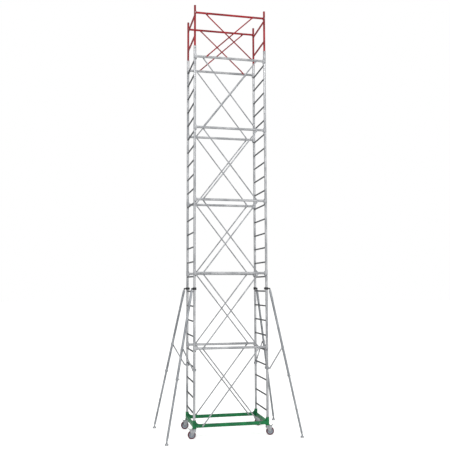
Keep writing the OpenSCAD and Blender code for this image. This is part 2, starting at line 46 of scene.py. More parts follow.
# Sizes of the tower's tubes, in metres, and the places that the frame's own boxes give
tower = {
    "sleeveRadius": 0.0278,
    "sleeveDrop": 0.040,
    "sleeveRise": 0.060,
    "uprightRadius": 0.025,
    "postRadius": 0.022,
    "stringerRadius": 0.025,
    "guardRadius": 0.021,
    "stages": 5,
}
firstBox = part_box("ladder_frames_1")
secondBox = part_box("ladder_frames_2")
cornerX = firstBox[1].x - tower["sleeveRadius"]
cornerY = firstBox[1].y - tower["sleeveRadius"]
baseZ = firstBox[0].z + tower["sleeveDrop"]
stageHeight = secondBox[0].z - firstBox[0].z
jointZ = [baseZ + stageHeight * k for k in range(tower["stages"] + 1)]
topZ = jointZ[-1]
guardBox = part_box("guardrails")
guardZ = (guardBox[0].z + guardBox[1].z) / 2
corners = [("front_left", -1, -1), ("front_right", 1, -1), ("rear_left", -1, 1), ("rear_right", 1, 1)]

# Camera, some three metres up and thirteen metres in front of the tower, a little to its left
cameraView = {"place": (-2.858, -12.984, 2.965), "yaw": 12.328, "pitch": 5.611, "roll": -0.155, "lens": 50.38}
cameraData = bpy.data.cameras.new("camera")
cameraData.sensor_width = 36
cameraData.lens = cameraView["lens"]
cameraData.clip_end = 300
camera = bpy.data.objects.new("camera", cameraData)
camera.matrix_world = (
    Matrix.Translation(cameraView["place"])
    @ Matrix.Rotation(math.radians(-cameraView["yaw"]), 4, "Z")
    @ Matrix.Rotation(math.radians(90 + cameraView["pitch"]), 4, "X")
    @ Matrix.Rotation(math.radians(cameraView["roll"]), 4, "Z")
)
scene.collection.objects.link(camera)
scene.camera = camera
print("camera placed")


# Materials

def toLinear(hexText):
    shares = [int(hexText[i:i + 2], 16) / 255 for i in (1, 3, 5)]
    return tuple(s / 12.92 if s <= 0.04045 else ((s + 0.055) / 1.055) ** 2.4 for s in shares) + (1.0,)


# Adds a node, sets its own settings, then gives each input a value or a link
def addNode(tree, kind, settings=None, inputs=None):
    node = tree.nodes.new(kind)
    for name, value in (settings or {}).items():
        setattr(node, name, value)
    for name, value in (inputs or {}).items():
        for single in value if isinstance(value, list) else [value]:
            if isinstance(single, bpy.types.NodeSocket):
                tree.links.new(single, node.inputs[name])
            else:
                node.inputs[name].default_value = single
    return node


# Each finish: two tones that drift into each other over patchMm, a grain of grainMm with its bump depth,
# the lowest and highest roughness, and for zinc the size of the crystal flowers
finishes = {
    # Hot-dip galvanised steel tube: matt grey metal with soft crystal flowers and duller patches
    "galvanisedSteel": {
        "slot": "zinc_steel", "light": "#bdbec0", "dark": "#97999c", "metallic": 0.85,
        "patchMm": 260, "grainMm": 4, "bumpMm": 0.04, "rough": (0.40, 0.58), "spangleMm": 16, "spangle": 0.30,
    },
    # The ladder frames' zinc: bright uprights, and rungs painted a darker grey
    "galvanisedLadder": {
        "slot": "zinc_steel", "light": "#bdbec0", "dark": "#97999c", "metallic": 0.85,
        "patchMm": 260, "grainMm": 4, "bumpMm": 0.04, "rough": (0.40, 0.58), "spangleMm": 16, "spangle": 0.30,
        "rungDarkGrey": "#5e6063",
    },
    # Dulled zinc on the outriggers' tubes, which lie in the mud between jobs: mid grey with faint crystals
    "dulledZinc": {
        "slot": "zinc_steel", "light": "#a4a7ab", "dark": "#84878b", "metallic": 0.85,
        "patchMm": 200, "grainMm": 4, "bumpMm": 0.04, "rough": (0.44, 0.60), "spangleMm": 14, "spangle": 0.25,
    },
    # Darker zinc on the thin tubes of braces and struts: dull grey, hardly any crystal
    "darkerThinZinc": {
        "slot": "zinc_steel", "light": "#adafb2", "dark": "#8f9194", "metallic": 0.8,
        "patchMm": 140, "grainMm": 3, "bumpMm": 0.04, "rough": (0.48, 0.64), "spangleMm": 10, "spangle": 0.15,
    },
    # Electroplated zinc on castors, lower clamps, feet and bolts: smoother and brighter than the tubes
    "platedZinc": {
        "slot": "bright_zinc", "light": "#b4b6b9", "dark": "#8c8f93", "metallic": 0.9,
        "patchMm": 60, "grainMm": 2, "bumpMm": 0.02, "rough": (0.28, 0.42), "spangleMm": 6, "spangle": 0.12,
    },
    # Green powder coat on the base frame: even orange-peel gloss, rubbed to zinc along the edges
    "greenPowderCoat": {
        "slot": "green_paint", "light": "#0a7440", "dark": "#075733", "metallic": 0.0,
        "patchMm": 220, "grainMm": 3, "bumpMm": 0.10, "rough": (0.36, 0.50), "worn": "#8d9792", "gloss": 0.3,
    },
    # Red powder coat on the guardrails: the same gloss, a little faded where hands hold it
    "redPowderCoat": {
        "slot": "red_paint", "light": "#960f1c", "dark": "#740a15", "metallic": 0.0,
        "patchMm": 180, "grainMm": 3, "bumpMm": 0.08, "rough": (0.36, 0.50), "worn": "#a39a98", "gloss": 0.3,
    },
    # Black stoved paint on the outriggers' upper clamps: low gloss, scuffed grey on the corners
    "blackStovedPaint": {
        "slot": "black_paint", "light": "#26272a", "dark": "#151618", "metallic": 0.0,
        "patchMm": 50, "grainMm": 2, "bumpMm": 0.06, "rough": (0.38, 0.55), "worn": "#6c6e72",
    },
    # Moulded polyethylene on the post caps and foot pads: soft sheen with a fine moulded grain
    "mouldedPolyethylene": {
        "slot": "black_plastic", "light": "#2a2b2e", "dark": "#1c1d20", "metallic": 0.0,
        "patchMm": 30, "grainMm": 1.5, "bumpMm": 0.05, "rough": (0.45, 0.60),
    },
    # Moulded grey nylon hubs: pale, waxy, faintly dusty
    "mouldedNylon": {
        "slot": "grey_nylon", "light": "#9aa3ac", "dark": "#7f8891", "metallic": 0.0,
        "patchMm": 35, "grainMm": 1.5, "bumpMm": 0.05, "rough": (0.42, 0.58),
    },
    # Maroon rubber tyres: dull, with pale floor dust worked into the surface
    "maroonRubber": {
        "slot": "maroon_rubber", "light": "#5c2233", "dark": "#401622", "metallic": 0.0,
        "patchMm": 28, "grainMm": 1.2, "bumpMm": 0.12, "rough": (0.66, 0.85), "dust": "#75616a",
    },
}


def makeFinish(name, look):
    material = bpy.data.materials.new(name)
    material.use_nodes = True
    tree = material.node_tree
    shader = tree.nodes["Principled BSDF"]
    shader.inputs["Metallic"].default_value = look["metallic"]
    shader.inputs["Specular IOR Level"].default_value = look.get("gloss", 0.5)
    place = addNode(tree, "ShaderNodeTexCoord").outputs["Object"]
    patch = addNode(tree, "ShaderNodeTexNoise", {}, {
        "Vector": place, "Scale": 1000 / look["patchMm"], "Detail": 4.0, "Roughness": 0.6})
    grain = addNode(tree, "ShaderNodeTexNoise", {}, {
        "Vector": place, "Scale": 1000 / look["grainMm"], "Detail": 2.0})
    drift = addNode(tree, "ShaderNodeMapRange", {"interpolation_type": "SMOOTHSTEP"}, {
        "Value": patch.outputs["Fac"], "From Min": 0.32, "From Max": 0.68})
    colour = addNode(tree, "ShaderNodeMix", {"data_type": "RGBA"}, {
        0: drift.outputs[0], 6: toLinear(look["light"]), 7: toLinear(look["dark"])}).outputs[2]
    shine = addNode(tree, "ShaderNodeMath", {"operation": "MULTIPLY_ADD"}, {
        0: grain.outputs["Fac"], 1: 0.5, 2: 0.0}).outputs[0]
    shine = addNode(tree, "ShaderNodeMath", {"operation": "MULTIPLY_ADD"}, {
        0: drift.outputs[0], 1: 0.5, 2: shine}).outputs[0]
    if "spangleMm" in look:
        # each crystal flower takes its own tone and dullness
        flower = addNode(tree, "ShaderNodeTexVoronoi", {"feature": "F1"}, {
            "Vector": place, "Scale": 1000 / look["spangleMm"], "Randomness": 1.0})
        tone = addNode(tree, "ShaderNodeSeparateColor", {}, {0: flower.outputs["Color"]}).outputs[0]
        share = addNode(tree, "ShaderNodeMath", {"operation": "MULTIPLY"}, {
            0: tone, 1: look["spangle"]}).outputs[0]
        colour = addNode(tree, "ShaderNodeMix", {"data_type": "RGBA"}, {
            0: share, 6: colour, 7: toLinear(look["dark"])}).outputs[2]
        shine = addNode(tree, "ShaderNodeMath", {"operation": "MULTIPLY_ADD"}, {
            0: tone, 1: 0.35, 2: shine}).outputs[0]
    if "rungDarkGrey" in look:
        # only the rungs lie between the uprights, and these are painted a darker grey than the uprights
        across = addNode(tree, "ShaderNodeSeparateXYZ", {}, {0: place}).outputs["Y"]
        across = addNode(tree, "ShaderNodeMath", {"operation": "ABSOLUTE"}, {0: across}).outputs[0]
        between = addNode(tree, "ShaderNodeMath", {"operation": "LESS_THAN"}, {
            0: across, 1: cornerY - tower["sleeveRadius"] - 0.0005}).outputs[0]
        colour = addNode(tree, "ShaderNodeMix", {"data_type": "RGBA"}, {
            0: between, 6: colour, 7: toLinear(look["rungDarkGrey"])}).outputs[2]
    if "dust" in look:
        dusty = addNode(tree, "ShaderNodeMapRange", {}, {
            "Value": patch.outputs["Fac"], "From Min": 0.45, "From Max": 0.75, "To Max": 0.5}).outputs[0]
        colour = addNode(tree, "ShaderNodeMix", {"data_type": "RGBA"}, {
            0: dusty, 6: colour, 7: toLinear(look["dust"])}).outputs[2]
    if "worn" in look:
        # the paint is rubbed through along the edges that the mesh marks, broken up by the grain
        edge = addNode(tree, "ShaderNodeAttribute", {"attribute_name": "wear"}).outputs["Fac"]
        broken = addNode(tree, "ShaderNodeMath", {"operation": "MULTIPLY"}, {
            0: edge, 1: patch.outputs["Fac"]}).outputs[0]
        bare = addNode(tree, "ShaderNodeMapRange", {}, {
            "Value": broken, "From Min": 0.34, "From Max": 0.52}).outputs[0]
        colour = addNode(tree, "ShaderNodeMix", {"data_type": "RGBA"}, {
            0: bare, 6: colour, 7: toLinear(look["worn"])}).outputs[2]
    rough = addNode(tree, "ShaderNodeMapRange", {}, {
        "Value": shine, "From Min": 0.2, "From Max": 0.9,
        "To Min": look["rough"][0], "To Max": look["rough"][1]})
    bump = addNode(tree, "ShaderNodeBump", {}, {
        "Height": grain.outputs["Fac"], "Distance": look["bumpMm"] / 1000, "Strength": 0.8})
    tree.links.new(colour, shader.inputs["Base Color"])
    tree.links.new(rough.outputs[0], shader.inputs["Roughness"])
    tree.links.new(bump.outputs[0], shader.inputs["Normal"])
    return material


materials = {name: makeFinish(name, look) for name, look in finishes.items()}
print("materials made:", len(materials))

# The CAD nodes that stay in view, by the start of their names
nodeFinishes = {
    "ladder_frames": "galvanisedLadder",
    "stringers": "galvanisedSteel",
    "top_sleeves": "galvanisedSteel",
    "outrigger_leg": "dulledZinc",
    "outrigger_extension": "dulledZinc",
    "castor_stems": "platedZinc",
    "guard_end": "redPowderCoat",
    "guardrails": "redPowderCoat",
}
for nodeName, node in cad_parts.items():
    for start, finish in nodeFinishes.items():
        if nodeName.startswith(start):
            node.data.materials.clear()
            node.data.materials.append(materials[finish])


# Mesh helpers: a part is a list of points and a list of faces

toY = Matrix.Rotation(math.radians(90), 4, "X")
toX = Matrix.Rotation(math.radians(90), 4, "Y")


def arcPoints(centreX, centreY, radius, start, end, steps):
    angles = [math.radians(start + (end - start) * i / steps) for i in range(steps + 1)]
    return [(centreX + radius * math.cos(a), centreY + radius * math.sin(a)) for a in angles]


def roundedRect(width, height, radius, steps=4):
    x, y = width / 2 - radius, height / 2 - radius
    return (arcPoints(x, y, radius, 0, 90, steps) + arcPoints(-x, y, radius, 90, 180, steps)
            + arcPoints(-x, -y, radius, 180, 270, steps) + arcPoints(x, -y, radius, 270, 360, steps))


# Joins sections of equal counts into one skin, either capped at both ends or closed into a loop
def skin(sections, looped=False):
    count = len(sections[0])
    points = [point for section in sections for point in section]
    faces = []
    for i in range(len(sections) if looped else len(sections) - 1):
        near, far = i * count, ((i + 1) % len(sections)) * count
        for j in range(count):
            k = (j + 1) % count
            faces.append((near + j, near + k, far + k, far + j))
    if not looped:
        faces.append(tuple(reversed(range(count))))
        faces.append(tuple(range(len(points) - count, len(points))))
    return points, faces


# Turns a profile of (radius, height) round Z; a bored one is a closed profile with a hole through it
def turned(profile, bored=False, steps=40):
    angles = [2 * math.pi * i / steps for i in range(steps)]
    return skin([[(r * math.cos(a), r * math.sin(a), h) for a in angles] for r, h in profile], looped=bored)


def plate(outline, low, high):
    return skin([[(x, y, low) for x, y in outline], [(x, y, high) for x, y in outline]])


def moved(part, matrix):
    return [matrix @ Vector(point) for point in part[0]], part[1]


# The matrix that takes a part drawn at the rear right corner, about the upright's axis, to another corner
def atCorner(signX, signY, turn=0):
    return (Matrix.Diagonal((signX, signY, 1, 1)) @ Matrix.Translation((cornerX, cornerY, 0))
            @ Matrix.Rotation(math.radians(turn), 4, "Z"))


def linkPiece(name, mesh, finish, body, replaced=()):
    mesh.materials.clear()
    mesh.materials.append(materials[finish])
    piece = bpy.data.objects.new(name, mesh)
    scene.collection.objects.link(piece)
    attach(piece, body)
    if replaced:
        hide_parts(*replaced)
    return piece


# Puts several closed parts together, with all faces turned outwards
def joinParts(parts):
    build = bmesh.new()
    for points, faces in parts:
        made = [build.verts.new(point) for point in points]
        for face in faces:
            build.faces.new([made[i] for i in face])
    bmesh.ops.recalc_face_normals(build, faces=build.faces)
    return build


def keepMesh(name, build):
    mesh = bpy.data.meshes.new(name)
    build.to_mesh(mesh)
    build.free()
    return mesh


# Makes one piece of several closed parts, with its sharp edges rounded and marked for wear
def makePiece(name, parts, finish, body, rounding=0.0, replaced=()):
    build = joinParts(parts)
    worn = build.verts.layers.float.new("wear")
    if rounding:
        sharp = [e for e in build.edges if len(e.link_faces) == 2 and e.calc_face_angle() > 0.6]
        result = bmesh.ops.bevel(build, geom=sharp, offset=rounding, segments=2, profile=0.6,
                                 affect="EDGES", clamp_overlap=True)
        fresh = set(result["faces"])
        for vert in result["verts"]:
            vert[worn] = float(all(face in fresh for face in vert.link_faces))
    mesh = keepMesh(name, build)
    mesh.shade_smooth()
    mesh.set_sharp_from_angle(angle=0.65)
    return linkPiece(name, mesh, finish, body, replaced)


# Geometry Nodes helpers

def startTree(name, inputs):
    tree = bpy.data.node_groups.new(name, "GeometryNodeTree")
    tree.interface.new_socket(name="Geometry", in_out="INPUT", socket_type="NodeSocketGeometry")
    tree.interface.new_socket(name="Geometry", in_out="OUTPUT", socket_type="NodeSocketGeometry")
    for label, kind in inputs.items():
        tree.interface.new_socket(name=label, in_out="INPUT", socket_type="NodeSocket" + kind)
    tree.interface.new_socket(name="Finish", in_out="INPUT", socket_type="NodeSocketMaterial")
    return tree, addNode(tree, "NodeGroupInput").outputs


def endTree(tree, given, geometry):
    real = addNode(tree, "GeometryNodeRealizeInstances", {}, {"Geometry": geometry}).outputs[0]
    painted = addNode(tree, "GeometryNodeSetMaterial", {}, {"Geometry": real, "Material": given["Finish"]})
    addNode(tree, "NodeGroupOutput", {}, {"Geometry": painted.outputs[0]})


# Runs a tree on a mesh of points or paths and keeps the result as one plain piece
def runTree(name, tree, mesh, values, finish, body, replaced=(), sharpAngle=0.65):
    source = bpy.data.objects.new(name + "Source", mesh)
    scene.collection.objects.link(source)
    modifier = source.modifiers.new("nodes", "NODES")
    modifier.node_group = tree
    sockets = {item.name: item.identifier for item in tree.interface.items_tree if item.in_out == "INPUT"}
    for label, value in {**values, "Finish": materials[finish]}.items():
        modifier[sockets[label]] = value
    evaluated = source.evaluated_get(bpy.context.evaluated_depsgraph_get())
    result = bpy.data.meshes.new_from_object(evaluated)
    result.name = name
    bpy.data.objects.remove(source)
    result.shade_smooth()
    result.set_sharp_from_angle(angle=sharpAngle)
    return linkPiece(name, result, finish, body, replaced)


# A mesh of bare points, each with the turn that its instance takes
def pointMesh(name, spots):
    mesh = bpy.data.meshes.new(name)
    mesh.from_pydata([place for place, turn in spots], [], [])
    turns = mesh.attributes.new("turn", "FLOAT_VECTOR", "POINT")
    turns.data.foreach_set("vector", [a for place, turn in spots for a in turn])
    return mesh


# A mesh of bare lines, each a list of points and whether it closes
def pathMesh(name, paths):
    points, edges = [], []
    for line, closed in paths:
        start = len(points)
        points.extend(line)
        edges.extend((start + i, start + i + 1) for i in range(len(line) - 1))
        if closed:
            edges.append((len(points) - 1, start))
    mesh = bpy.data.meshes.new(name)
    mesh.from_pydata(points, edges, [])
    return mesh


# Weld beads, as a rippled tube along each joint line

# A bead's line lies clear of a tube's skin by lift, and before a fork's face by back
weld = {"step": 0.0024, "ripple": 0.0052, "depth": 0.28, "lift": 0.0006, "back": 0.0008}
weldTree, given = startTree("weldBeads", {
    "Radius": "Float", "Step": "Float", "Ripple": "Float", "Depth": "Float"})
line = addNode(weldTree, "GeometryNodeMeshToCurve", {}, {"Mesh": given["Geometry"]}).outputs[0]
line = addNode(weldTree, "GeometryNodeResampleCurve", {"mode": "LENGTH"}, {
    "Curve": line, "Length": given["Step"]}).outputs[0]
along = addNode(weldTree, "GeometryNodeSplineParameter").outputs["Length"]
phase = addNode(weldTree, "ShaderNodeMath", {"operation": "DIVIDE"}, {
    0: along, 1: given["Ripple"]}).outputs[0]
phase = addNode(weldTree, "ShaderNodeMath", {"operation": "MULTIPLY"}, {0: phase, 1: math.pi}).outputs[0]
wave = addNode(weldTree, "ShaderNodeMath", {"operation": "SINE"}, {0: phase}).outputs[0]
wave = addNode(weldTree, "ShaderNodeMath", {"operation": "ABSOLUTE"}, {0: wave}).outputs[0]
swell = addNode(weldTree, "ShaderNodeMath", {"operation": "MULTIPLY_ADD"}, {
    0: wave, 1: given["Depth"], 2: 1.0}).outputs[0]
ring = addNode(weldTree, "GeometryNodeCurvePrimitiveCircle", {}, {"Resolution": 6, "Radius": given["Radius"]})
bead = addNode(weldTree, "GeometryNodeCurveToMesh", {}, {
    "Curve": line, "Profile Curve": ring.outputs[0], "Scale": swell, "Fill Caps": True}).outputs[0]
endTree(weldTree, given, bead)


def makeWelds(name, paths, radius, finish, body):
    values = {"Radius": radius, "Step": weld["step"], "Ripple": weld["ripple"], "Depth": weld["depth"]}
    return runTree(name, weldTree, pathMesh(name, paths), values, finish, body, sharpAngle=1.4)


# The line where a bar along Y meets the side of a round post
def saddleLoop(x, y, z, barRadius, postRadius, inward, steps=20):
    loop = []
    for i in range(steps):
        angle = 2 * math.pi * i / steps
        across = barRadius * math.cos(angle)
        reach = math.sqrt(postRadius ** 2 - across ** 2)
        loop.append((x + across, y + inward * reach, z + barRadius * math.sin(angle)))
    return loop, True


def flatLoop(x, y, z, radius, steps=24):
    return [(x + px, y + py, z) for px, py in arcPoints(0, 0, radius, 0, 360, steps)[:-1]], True


def uprightLoop(x, y, z, radius, steps=24):
    return [(x, y + py, z + pz) for py, pz in arcPoints(0, 0, radius, 0, 360, steps)[:-1]], True


rungs = {"radius": 0.0166, "first": 0.230, "pitch": 0.300, "count": 5, "bead": 0.0020}
stringerEnd = {"forkX": 0.0331, "gusset": 0.040, "gussetHalf": 0.0025, "bead": 0.0021, "beadShare": 0.9}
frameWelds = []
for x in (-cornerX, cornerX):
    for side in (-1, 1):
        for k in range(tower["stages"]):
            for i in range(rungs["count"]):
                z = jointZ[k] + rungs["first"] + i * rungs["pitch"]
                frameWelds.append(saddleLoop(
                    x, side * cornerY, z, rungs["radius"], tower["uprightRadius"], -side))
            frameWelds.append(flatLoop(
                x, side * cornerY, jointZ[k] + tower["sleeveRise"], tower["uprightRadius"] + weld["lift"]))
makeWelds("frameWelds", frameWelds, rungs["bead"], "galvanisedSteel", "tower")

stringerWelds = []
for end in (-1, 1):
    for side in (-1, 1):
        for z in jointZ[1:]:
            x = end * (cornerX - stringerEnd["forkX"] - weld["back"])
            y = side * cornerY
            stringerWelds.append(uprightLoop(x, y, z, tower["stringerRadius"] + weld["lift"]))
            under = z - tower["stringerRadius"]
            for face in (-1, 1):
                edge = y + face * stringerEnd["gussetHalf"]
                inner = (x - end * stringerEnd["gusset"] * stringerEnd["beadShare"], edge, under)
                lower = (x, edge, under - stringerEnd["gusset"] * stringerEnd["beadShare"])
                stringerWelds.append(([inner, (x, edge, under), lower], False))
makeWelds("stringerWelds", stringerWelds, stringerEnd["bead"], "galvanisedSteel", "tower")

guardEnd = {
    "midZ": topZ + 0.440, "upperZ": topZ + 0.888, "railRadius": 0.0196, "forkX": 0.0263, "bead": 0.0019,
}
guardWelds = []
for end in (-1, 1):
    for side in (-1, 1):
        for z in (guardEnd["midZ"], guardEnd["upperZ"]):
            guardWelds.append(saddleLoop(end * cornerX, side * cornerY, z, guardEnd["railRadius"],
                                         tower["postRadius"], -side))
        x = end * (cornerX - guardEnd["forkX"] - weld["back"])
        guardWelds.append(uprightLoop(x, side * cornerY, guardZ, tower["guardRadius"] + weld["lift"]))
makeWelds("guardWelds", guardWelds, guardEnd["bead"], "redPowderCoat", "tower")
print("welds laid")


# Diagonal braces, tubes pressed flat at the ends and repeated up the stages

braceShape = {
    "radius": 0.013, "flatHalf": 0.015, "flatThick": 0.005, "flatMiddle": 0.0025, "roundMiddle": 0.013,
    "flat": 0.030, "swage": 0.055, "plane": 0.0251, "inset": 0.170, "guardInset": 0.240,
}


# A tube along X from bolt to bolt whose ends are pressed flat and rounded off
def pressedTube(length, shape, steps=20):
    stations = []
    for i in range(6):
        angle = math.radians(10 + 16 * i)
        stations.append((-shape["flatHalf"] * math.cos(angle), shape["flatHalf"] * math.sin(angle), 0.0))
    stations.append((shape["flat"], shape["flatHalf"], 0.0))
    for i in range(1, 8):
        share = i / 7
        ease = share * share * (3 - 2 * share)
        half = shape["flatHalf"] * 1.06 * (1 - ease) + shape["radius"] * ease
        stations.append((shape["flat"] + shape["swage"] * share, half, ease))
    stations = stations + [(length - x, half, ease) for x, half, ease in reversed(stations)]
    sections = []
    for x, half, ease in stations:
        thick = shape["flatThick"] / 2 * (1 - ease) + shape["radius"] * ease
        middle = shape["flatMiddle"] * (1 - ease) + shape["roundMiddle"] * ease
        power = 0.45 + 0.55 * ease
        ringPoints = []
        for i in range(steps):
            angle = 2 * math.pi * (i + 0.5) / steps
            c, s = math.cos(angle), math.sin(angle)
            ringPoints.append((x, middle + thick * math.copysign(abs(s) ** power, s),
                               half * math.copysign(abs(c) ** power, c)))
        sections.append(ringPoints)
    return skin(sections)


# Two crossing braces of one side, as the bolts hold them: one on the outer face, one on the inner face
def bracePair(inset, lowZ, highZ, side):
    reach = cornerX - inset
    slope = math.atan2(highZ - lowZ, 2 * reach)
    tube = pressedTube(math.hypot(highZ - lowZ, 2 * reach), braceShape)
    pair = []
    for face in (1, -1):
        matrix = (Matrix.Diagonal((face, side, 1, 1)) @ Matrix.Translation((0, cornerY, 0))
                  @ Matrix.Diagonal((1, face, 1, 1)) @ Matrix.Translation((-reach, braceShape["plane"], lowZ))
                  @ Matrix.Rotation(-slope, 4, "Y"))
        pair.append(moved(tube, matrix))
    return pair


stackTree, given = startTree("stageStack", {"Stages": "Int", "Rise": "Float"})
step = addNode(stackTree, "ShaderNodeCombineXYZ", {}, {"Z": given["Rise"]}).outputs[0]
floors = addNode(stackTree, "GeometryNodeMeshLine", {}, {"Count": given["Stages"], "Offset": step}).outputs[0]
stack = addNode(stackTree, "GeometryNodeInstanceOnPoints", {}, {
    "Points": floors, "Instance": given["Geometry"]}).outputs[0]
endTree(stackTree, given, stack)
for side, label in ((-1, "front"), (1, "rear")):
    pair = bracePair(braceShape["inset"], jointZ[0], jointZ[1], side)
    runTree("crossBraces_" + label, stackTree, keepMesh("crossBraces", joinParts(pair)),
            {"Stages": tower["stages"], "Rise": stageHeight}, "darkerThinZinc", "tower",
            ["cross_braces_" + label])
guardPairs = [tube for side in (-1, 1) for tube in bracePair(braceShape["guardInset"], topZ, guardZ, side)]
makePiece("guardBraces", guardPairs, "redPowderCoat", "tower", replaced=["guard_braces"])
print("braces made")


# Fasteners: bolts through the braces, and locking pins with their lift rings

# Short cylinders on a fastener's axis: corners, radius, depth, distance beyond its reach, and which end
def discsAlong(tree, reach, discs):
    made = []
    for count, radius, depth, beyond, sign in discs:
        disc = addNode(tree, "GeometryNodeMeshCylinder", {}, {
            "Vertices": count, "Radius": radius, "Depth": depth}).outputs[0]
        where = addNode(tree, "ShaderNodeMath", {"operation": "MULTIPLY_ADD"}, {
            0: reach, 1: sign, 2: sign * beyond}).outputs[0]
        offset = addNode(tree, "ShaderNodeCombineXYZ", {}, {"Z": where}).outputs[0]
        made.append(addNode(tree, "GeometryNodeTransform", {}, {
            "Geometry": disc, "Translation": offset}).outputs[0])
    return made


# Sets one whole fastener on every point, turned as the point says
def setOnPoints(tree, given, parts):
    whole = addNode(tree, "GeometryNodeJoinGeometry", {}, {"Geometry": parts}).outputs[0]
    turn = addNode(tree, "GeometryNodeInputNamedAttribute", {"data_type": "FLOAT_VECTOR"}, {
        "Name": "turn"}).outputs[0]
    placed = addNode(tree, "GeometryNodeInstanceOnPoints", {}, {
        "Points": given["Geometry"], "Instance": whole, "Rotation": turn}).outputs[0]
    endTree(tree, given, placed)


boltShape = {
    "Seat": 0.0302, "Shank": 0.004, "Spacer": 0.0078, "Head": 0.0075, "Head Height": 0.0048, "Washer": 0.0092,
}
boltTree, given = startTree("bolts", {label: "Float" for label in boltShape})
length = addNode(boltTree, "ShaderNodeMath", {"operation": "MULTIPLY"}, {0: given["Seat"], 1: 2.0}).outputs[0]
spacer = addNode(boltTree, "GeometryNodeMeshCylinder", {}, {
    "Vertices": 20, "Radius": given["Spacer"], "Depth": length}).outputs[0]
washer, head = given["Washer"], given["Head"]
boltParts = [spacer] + discsAlong(boltTree, given["Seat"], (
    (20, washer, 0.0014, 0.0007, 1),
    (20, washer, 0.0014, 0.0007, -1),
    (6, head, given["Head Height"], 0.0038, 1),
    (6, head, given["Head Height"], 0.0038, -1),
    (12, given["Shank"], 0.0120, 0.0060, -1),
))
setOnPoints(boltTree, given, boltParts)

quarter = math.radians(90)
outward = {-1: (-quarter, 0, math.pi), 1: (-quarter, 0, 0)}
boltSpots = []
for end in (-1, 1):
    for side in (-1, 1):
        for inset, levels in ((braceShape["inset"], jointZ), (braceShape["guardInset"], (topZ, guardZ))):
            boltSpots += [((end * (cornerX - inset), side * cornerY, z), outward[side]) for z in levels]
runTree("braceBolts", boltTree, pointMesh("boltSpots", boltSpots), boltShape, "platedZinc", "tower",
        ["brace_bolts"])

pinShape = {"Shank": 0.005, "Head": 0.009, "Collar": 0.007, "Ring": 0.0125, "Wire": 0.0013}
pinTree, given = startTree("lockingPins", {label: "Float" for label in (*pinShape, "Reach")})
reach = given["Reach"]
length = addNode(pinTree, "ShaderNodeMath", {"operation": "MULTIPLY_ADD"}, {
    0: reach, 1: 2.0, 2: 0.013}).outputs[0]
shank = addNode(pinTree, "GeometryNodeMeshCylinder", {}, {
    "Vertices": 16, "Radius": given["Shank"], "Depth": length}).outputs[0]
pinParts = [shank] + discsAlong(pinTree, reach, (
    (20, given["Head"], 0.005, 0.0026, 1),
    (20, given["Collar"], 0.004, 0.0021, -1),
))
# the ring hangs from the end of the head, in the plane of the pin
loop = addNode(pinTree, "GeometryNodeCurvePrimitiveCircle", {}, {
    "Resolution": 20, "Radius": given["Ring"]}).outputs[0]
wire = addNode(pinTree, "GeometryNodeCurvePrimitiveCircle", {}, {
    "Resolution": 6, "Radius": given["Wire"]}).outputs[0]
ringMesh = addNode(pinTree, "GeometryNodeCurveToMesh", {}, {"Curve": loop, "Profile Curve": wire}).outputs[0]
where = addNode(pinTree, "ShaderNodeMath", {"operation": "ADD"}, {0: reach, 1: 0.0062}).outputs[0]
offset = addNode(pinTree, "ShaderNodeCombineXYZ", {}, {"Y": given["Ring"], "Z": where}).outputs[0]
pinParts.append(addNode(pinTree, "GeometryNodeTransform", {}, {
    "Geometry": ringMesh, "Translation": offset, "Rotation": (0.25, 0, 0)}).outputs[0])
setOnPoints(pinTree, given, pinParts)

pinRows = {
    "stringerPins": {"levels": [z - 0.025 for z in jointZ[1:]], "reach": stringerEnd["forkX"]},
    "postPins": {"levels": [topZ + 0.180], "reach": tower["sleeveRadius"]},
    "guardrailPins": {"levels": [guardZ], "reach": guardEnd["forkX"]},
}
for name, row in pinRows.items():
    spots = [((signX * cornerX, signY * cornerY, z), outward[signY])
             for _, signX, signY in corners for z in row["levels"]]
    runTree(name, pinTree, pointMesh(name, spots), {**pinShape, "Reach": row["reach"]}, "platedZinc", "tower",
            ["locking_pins"] if name == "stringerPins" else [])
print("fasteners made")


# Base frame

base = {
    "barWidth": 0.050, "barHeight": 0.065, "barCorner": 0.006, "socketRadius": 0.0321, "socketBore": 0.0281,
    "socketFoot": 0.205, "socketTop": 0.355, "plateSide": 0.0842, "plateThick": 0.008, "gusset": 0.076,
    "gussetLand": 0.004, "gussetThick": 0.005, "gussetSink": 0.002, "barSink": 0.0006, "plateCorner": 0.008,
    "bead": 0.0024, "beadShare": 0.92, "rounding": 0.0012,
}
baseParts = []
baseWelds = []
barOutline = roundedRect(base["barWidth"], base["barHeight"], base["barCorner"])
hug = base["socketRadius"] - base["barSink"]


# How far from a socket's axis a bar's skin meets the socket, at this distance across the bar
def socketReach(across, radius):
    return math.sqrt(radius ** 2 - across ** 2)


